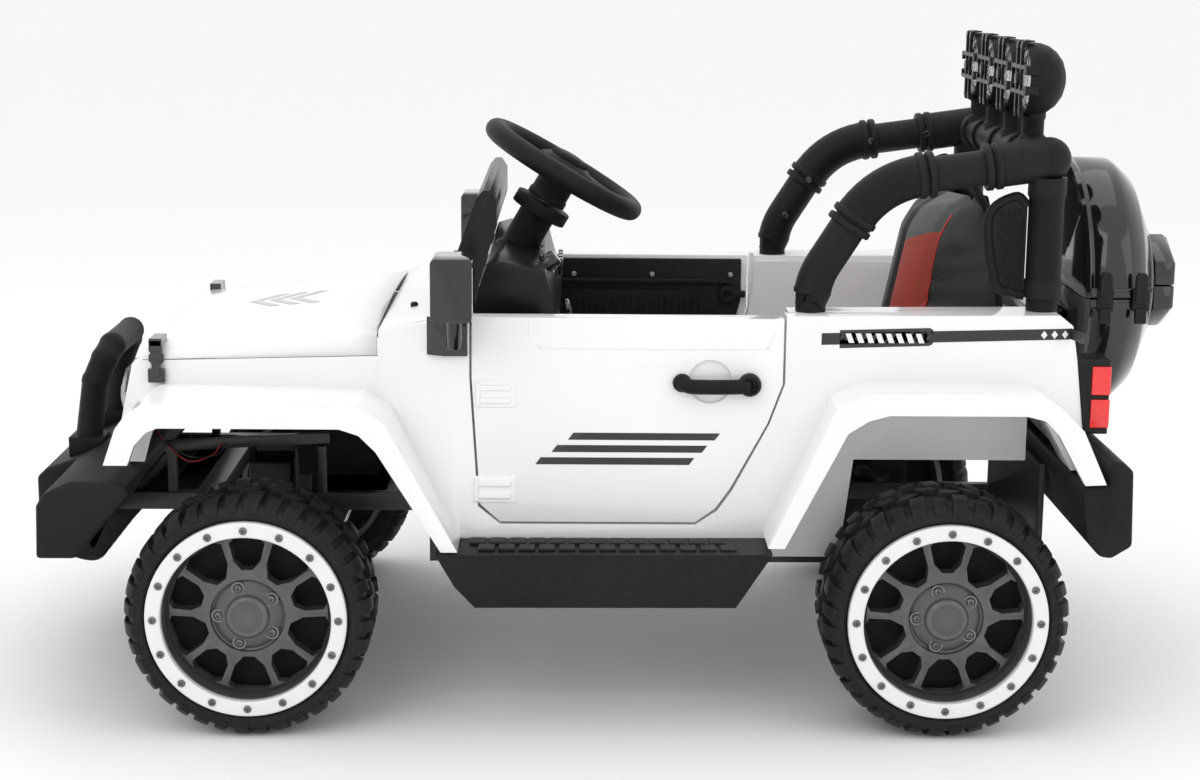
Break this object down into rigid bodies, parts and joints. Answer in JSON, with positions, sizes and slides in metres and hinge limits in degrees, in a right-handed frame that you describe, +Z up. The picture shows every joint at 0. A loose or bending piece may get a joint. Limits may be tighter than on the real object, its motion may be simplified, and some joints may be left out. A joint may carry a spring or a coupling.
{
  "type": "ride-on toy off-road 4x4",
  "caption": "Child's electric ride-on in the shape of an open off-road 4x4, with doors, steering, roll bar, roof lamps and a spare wheel box.",
  "frame": {"origin": "on the ground under the middle of the vehicle", "axes": "+X forward, +Y to the vehicle's left, +Z up"},
  "size_m": [1.351, 0.72, 0.749],
  "materials": {
    "white_gloss": "gloss",
    "black_satin": "fine grained satin",
    "black_gloss": "gloss",
    "tyre_plastic": "satin moulded",
    "wheel_grey": "dark metallic",
    "clear_lens": "clear",
    "red_lens": "gloss",
    "seat_cover": "soft imitation leather",
    "black_steel": "black paint",
    "plain_steel": "zinc plated"
  },
  "bodies": {
    "body": {"body_shell": "white_gloss", "hood": "white_gloss", "grille": "white_gloss", "grille_insert": "black_satin", "headlights": "clear_lens", "hood_latches": "black_gloss", "windscreen_frame": "black_satin", "dashboard": "black_satin", "cabin_tub": "white_gloss", "seat_shell": "black_satin", "seat_cushion": "seat_cover", "foot_pedal": "black_satin", "steering_column": "black_satin", "roll_bar": "black_satin", "side_mesh_panels": "black_satin", "lamp_housings": "black_satin", "lamp_lenses": "clear_lens", "spare_box_base": "black_gloss", "front_bumper": "black_satin", "bull_bar": "black_satin", "skid_plate": "black_satin", "rear_bumper": "black_satin", "side_steps": "black_satin", "tail_lights": "black_satin", "tail_lenses": "red_lens", "mirrors": "black_gloss", "chassis_frame": "black_steel", "front_axle": "black_steel", "rear_axle": "plain_steel", "rear_gearboxes": "black_satin", "battery": "black_satin"},
    "door_left": {"door_left": "white_gloss", "door_trim_left": "black_satin", "door_handle_left": "black_satin"},
    "door_right": {"door_right": "white_gloss", "door_trim_right": "black_satin", "door_handle_right": "black_satin"},
    "steering_wheel": {"steering_wheel": "black_satin", "steering_shaft": "plain_steel"},
    "knuckle_left": {"knuckle_left": "plain_steel", "front_gearbox_left": "black_satin"},
    "knuckle_right": {"knuckle_right": "plain_steel", "front_gearbox_right": "black_satin"},
    "tie_rod": {"tie_rod": "plain_steel"},
    "spare_box_lid": {"spare_box_lid": "black_gloss"},
    "wheel_front_left": {"tyre_front_left": "tyre_plastic", "rim_front_left": "wheel_grey"},
    "wheel_front_right": {"tyre_front_right": "tyre_plastic", "rim_front_right": "wheel_grey"},
    "wheel_rear_left": {"tyre_rear_left": "tyre_plastic", "rim_rear_left": "wheel_grey"},
    "wheel_rear_right": {"tyre_rear_right": "tyre_plastic", "rim_rear_right": "wheel_grey"}
  },
  "joints": [
    {"name": "steer_left", "type": "hinge", "parent": "body", "child": "knuckle_left", "pos_m": [0.398, 0.212, 0.135], "axis": [0, 0, 1], "range_deg": [-22, 22]},
    {"name": "steer_right", "type": "hinge", "parent": "body", "child": "knuckle_right", "pos_m": [0.398, -0.212, 0.135], "axis": [0, 0, 1], "range_deg": [-22, 22]},
    {"name": "tie_rod_pivot", "type": "hinge", "parent": "knuckle_left", "child": "tie_rod", "pos_m": [0.343, 0.212, 0.123], "axis": [0, 0, 1], "range_deg": [-22, 22]},
    {"name": "steering_wheel_turn", "type": "hinge", "parent": "body", "child": "steering_wheel", "pos_m": [0.059, 0, 0.588], "axis": [-0.506, 0, 0.8625], "range_deg": [-35.2, 35.2]},
    {"name": "wheel_front_left_spin", "type": "hinge", "parent": "knuckle_left", "child": "wheel_front_left", "pos_m": [0.398, 0.302, 0.135], "axis": [0, 1, 0], "continuous": true},
    {"name": "wheel_front_right_spin", "type": "hinge", "parent": "knuckle_right", "child": "wheel_front_right", "pos_m": [0.398, -0.302, 0.135], "axis": [0, 1, 0], "continuous": true},
    {"name": "wheel_rear_left_spin", "type": "hinge", "parent": "body", "child": "wheel_rear_left", "pos_m": [-0.361, 0.302, 0.135], "axis": [0, 1, 0], "continuous": true},
    {"name": "wheel_rear_right_spin", "type": "hinge", "parent": "body", "child": "wheel_rear_right", "pos_m": [-0.361, -0.302, 0.135], "axis": [0, 1, 0], "continuous": true},
    {"name": "door_left_hinge", "type": "hinge", "parent": "body", "child": "door_left", "pos_m": [0.1592, 0.27, 0.35], "axis": [0, 0, -1], "range_deg": [0, 60]},
    {"name": "door_right_hinge", "type": "hinge", "parent": "body", "child": "door_right", "pos_m": [0.1592, -0.27, 0.35], "axis": [0, 0, 1], "range_deg": [0, 60]},
    {"name": "spare_box_lid_hinge", "type": "hinge", "parent": "body", "child": "spare_box_lid", "pos_m": [-0.581, -0.153, 0.458], "axis": [1, 0, 0], "range_deg": [0, 85]}
  ],
  "couplings": [
    {"joint": "steer_right", "follows": "steer_left", "ratio": 1},
    {"joint": "tie_rod_pivot", "follows": "steer_left", "ratio": -1},
    {"joint": "steering_wheel_turn", "follows": "steer_left", "ratio": 1.6}
  ]
}
